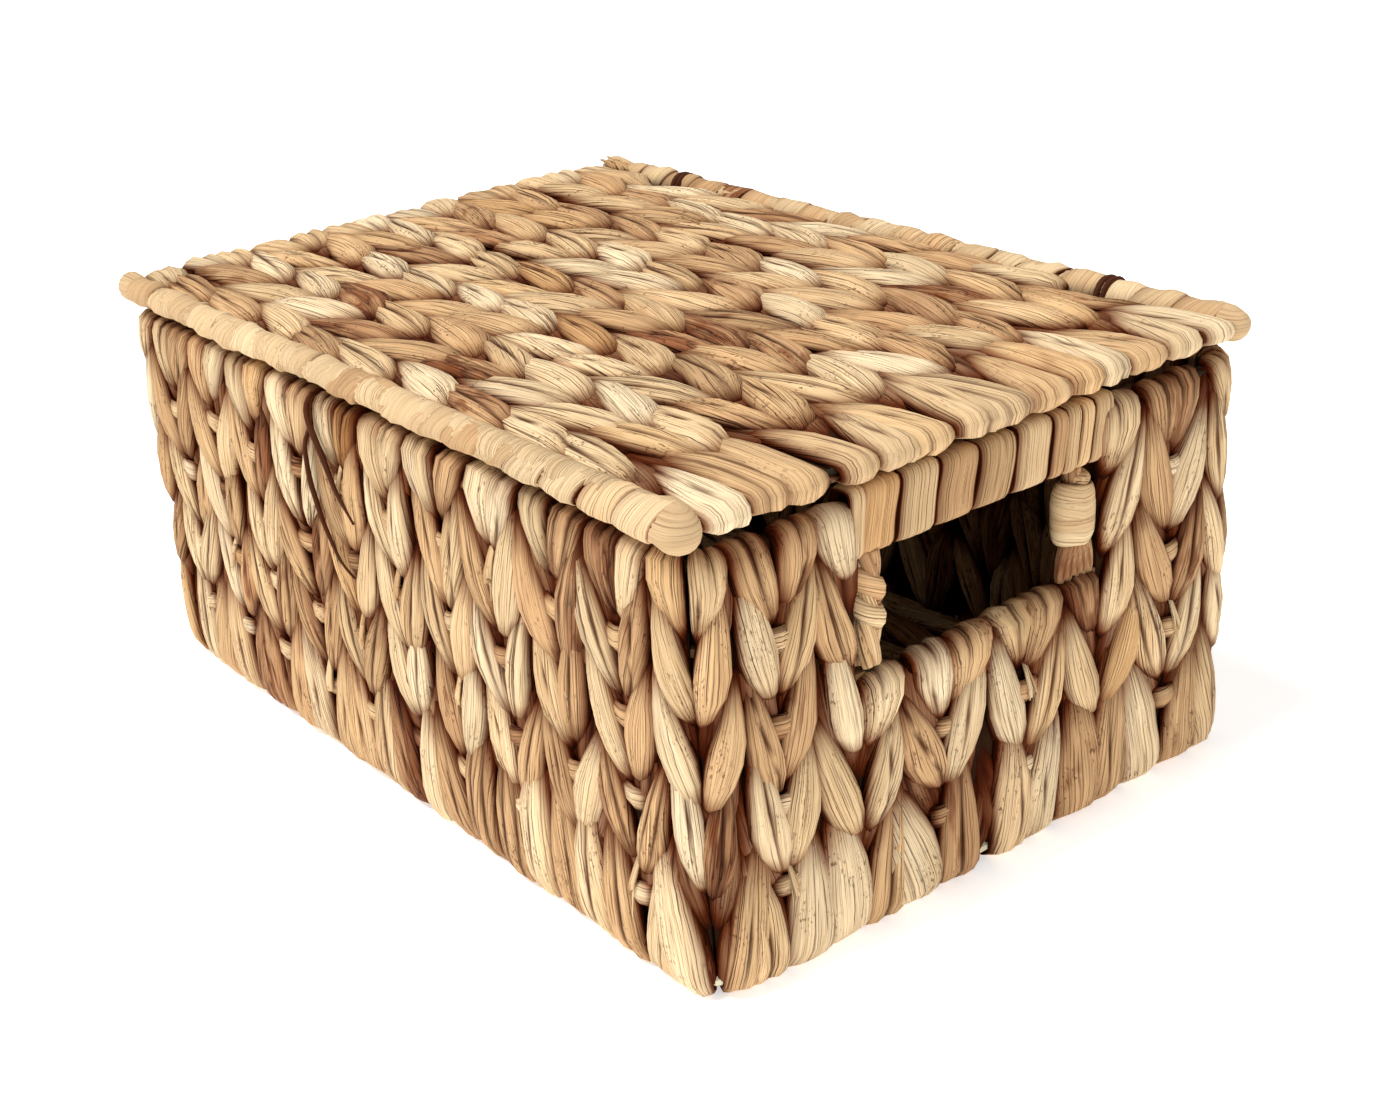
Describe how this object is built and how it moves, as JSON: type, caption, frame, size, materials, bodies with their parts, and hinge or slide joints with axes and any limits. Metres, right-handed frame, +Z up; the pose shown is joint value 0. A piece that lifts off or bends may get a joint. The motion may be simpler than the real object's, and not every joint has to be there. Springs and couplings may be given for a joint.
{
  "type": "woven lidded storage box",
  "caption": "Rectangular storage box of dried leaf twined in herringbone columns over a wire frame, with a woven lid tied on at the back and a hand hole in each end.",
  "frame": {"origin": "on the ground under the middle of the box", "axes": "+X along the length, +Y to the back, where the lid is tied on, +Z up"},
  "size_m": [0.44, 0.3, 0.1987],
  "materials": {
    "leaf": "matte",
    "pale_leaf": "satin",
    "brown_leaf": "matte",
    "wire": "satin",
    "cream_wire": "satin"
  },
  "bodies": {
    "box": {"base_weave": "leaf", "front_weave": "leaf", "back_weave": "leaf", "warp_strand_1": "leaf", "warp_strand_2": "leaf", "warp_strand_3_front": "leaf", "warp_strand_3_back": "leaf", "warp_strand_4_front": "leaf", "warp_strand_4_back": "leaf", "right_end_weave_front": "leaf", "right_end_weave_under_grip": "leaf", "right_end_weave_back": "leaf", "right_grip_wrap": "leaf", "right_rope_wrap": "leaf", "left_end_weave_front": "leaf", "left_end_weave_under_grip": "leaf", "left_end_weave_back": "leaf", "left_grip_wrap": "leaf", "left_rope_wrap": "leaf", "right_barrel_wrap": "pale_leaf", "left_barrel_wrap": "pale_leaf", "tie_loop_right": "brown_leaf", "tie_loop_left": "brown_leaf", "top_ring_wire": "wire", "base_cross_wire_1": "wire", "base_cross_wire_2": "wire", "base_cross_wire_3": "wire", "corner_post_front_right": "wire", "corner_post_back_right": "wire", "corner_post_back_left": "wire", "corner_post_front_left": "wire", "right_handle_wire": "wire", "left_handle_wire": "wire", "bottom_ring_wire": "cream_wire"},
    "lid": {"lid_ring_wire": "wire", "lid_cross_wire_1": "wire", "lid_cross_wire_2": "wire", "lid_cross_wire_3": "wire", "lid_weave": "leaf", "lid_rim_front": "pale_leaf", "lid_rim_back": "pale_leaf"}
  },
  "joints": [
    {"name": "lid_hinge", "type": "hinge", "parent": "box", "child": "lid", "pos_m": [0, 0.1443, 0.193], "axis": [-1, 0, 0], "range_deg": [0, 220]}
  ]
}
